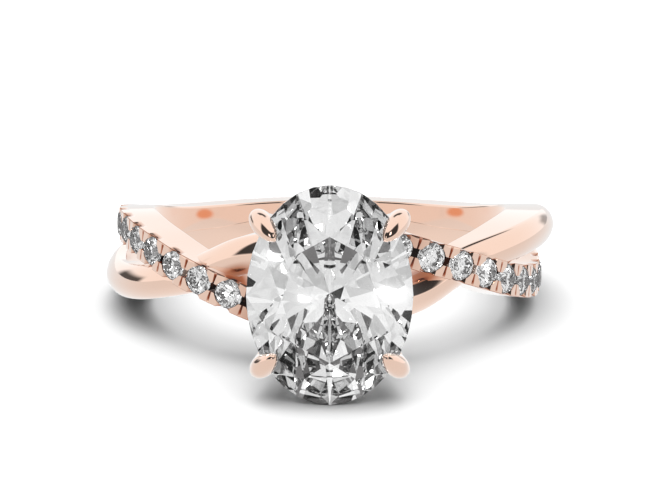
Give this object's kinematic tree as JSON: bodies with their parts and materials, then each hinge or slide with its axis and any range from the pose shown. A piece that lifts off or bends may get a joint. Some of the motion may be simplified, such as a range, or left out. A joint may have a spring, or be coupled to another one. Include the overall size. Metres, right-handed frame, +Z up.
{
  "type": "twisted shank ring",
  "caption": "Finger ring with a plain and a stone-set strand crossing beside a four-claw oval centre stone",
  "frame": {"origin": "centre of the bounding box's base, on the floor that the ring rests on", "axes": "+Z up from the floor, -Y towards the centre stone, +X across the band; the finger hole leans about 8 degrees from +Z, as the ring lies by itself"},
  "size_m": [0.021, 0.0258, 0.0092],
  "materials": {
    "rose_gold": "polished rose gold",
    "diamond": "faceted and polished, colourless"
  },
  "bodies": {
    "root": {"mounting": "rose_gold", "centre_stone": "diamond", "side_stone_right_1": "diamond", "side_stone_right_2": "diamond", "side_stone_right_3": "diamond", "side_stone_right_4": "diamond", "side_stone_right_5": "diamond", "side_stone_right_6": "diamond", "side_stone_right_7": "diamond", "side_stone_right_8": "diamond", "side_stone_right_9": "diamond", "side_stone_right_10": "diamond", "side_stone_left_1": "diamond", "side_stone_left_2": "diamond", "side_stone_left_3": "diamond", "side_stone_left_4": "diamond", "side_stone_left_5": "diamond", "side_stone_left_6": "diamond", "side_stone_left_7": "diamond", "side_stone_left_8": "diamond", "side_stone_left_9": "diamond", "side_stone_left_10": "diamond"}
  },
  "joints": []
}
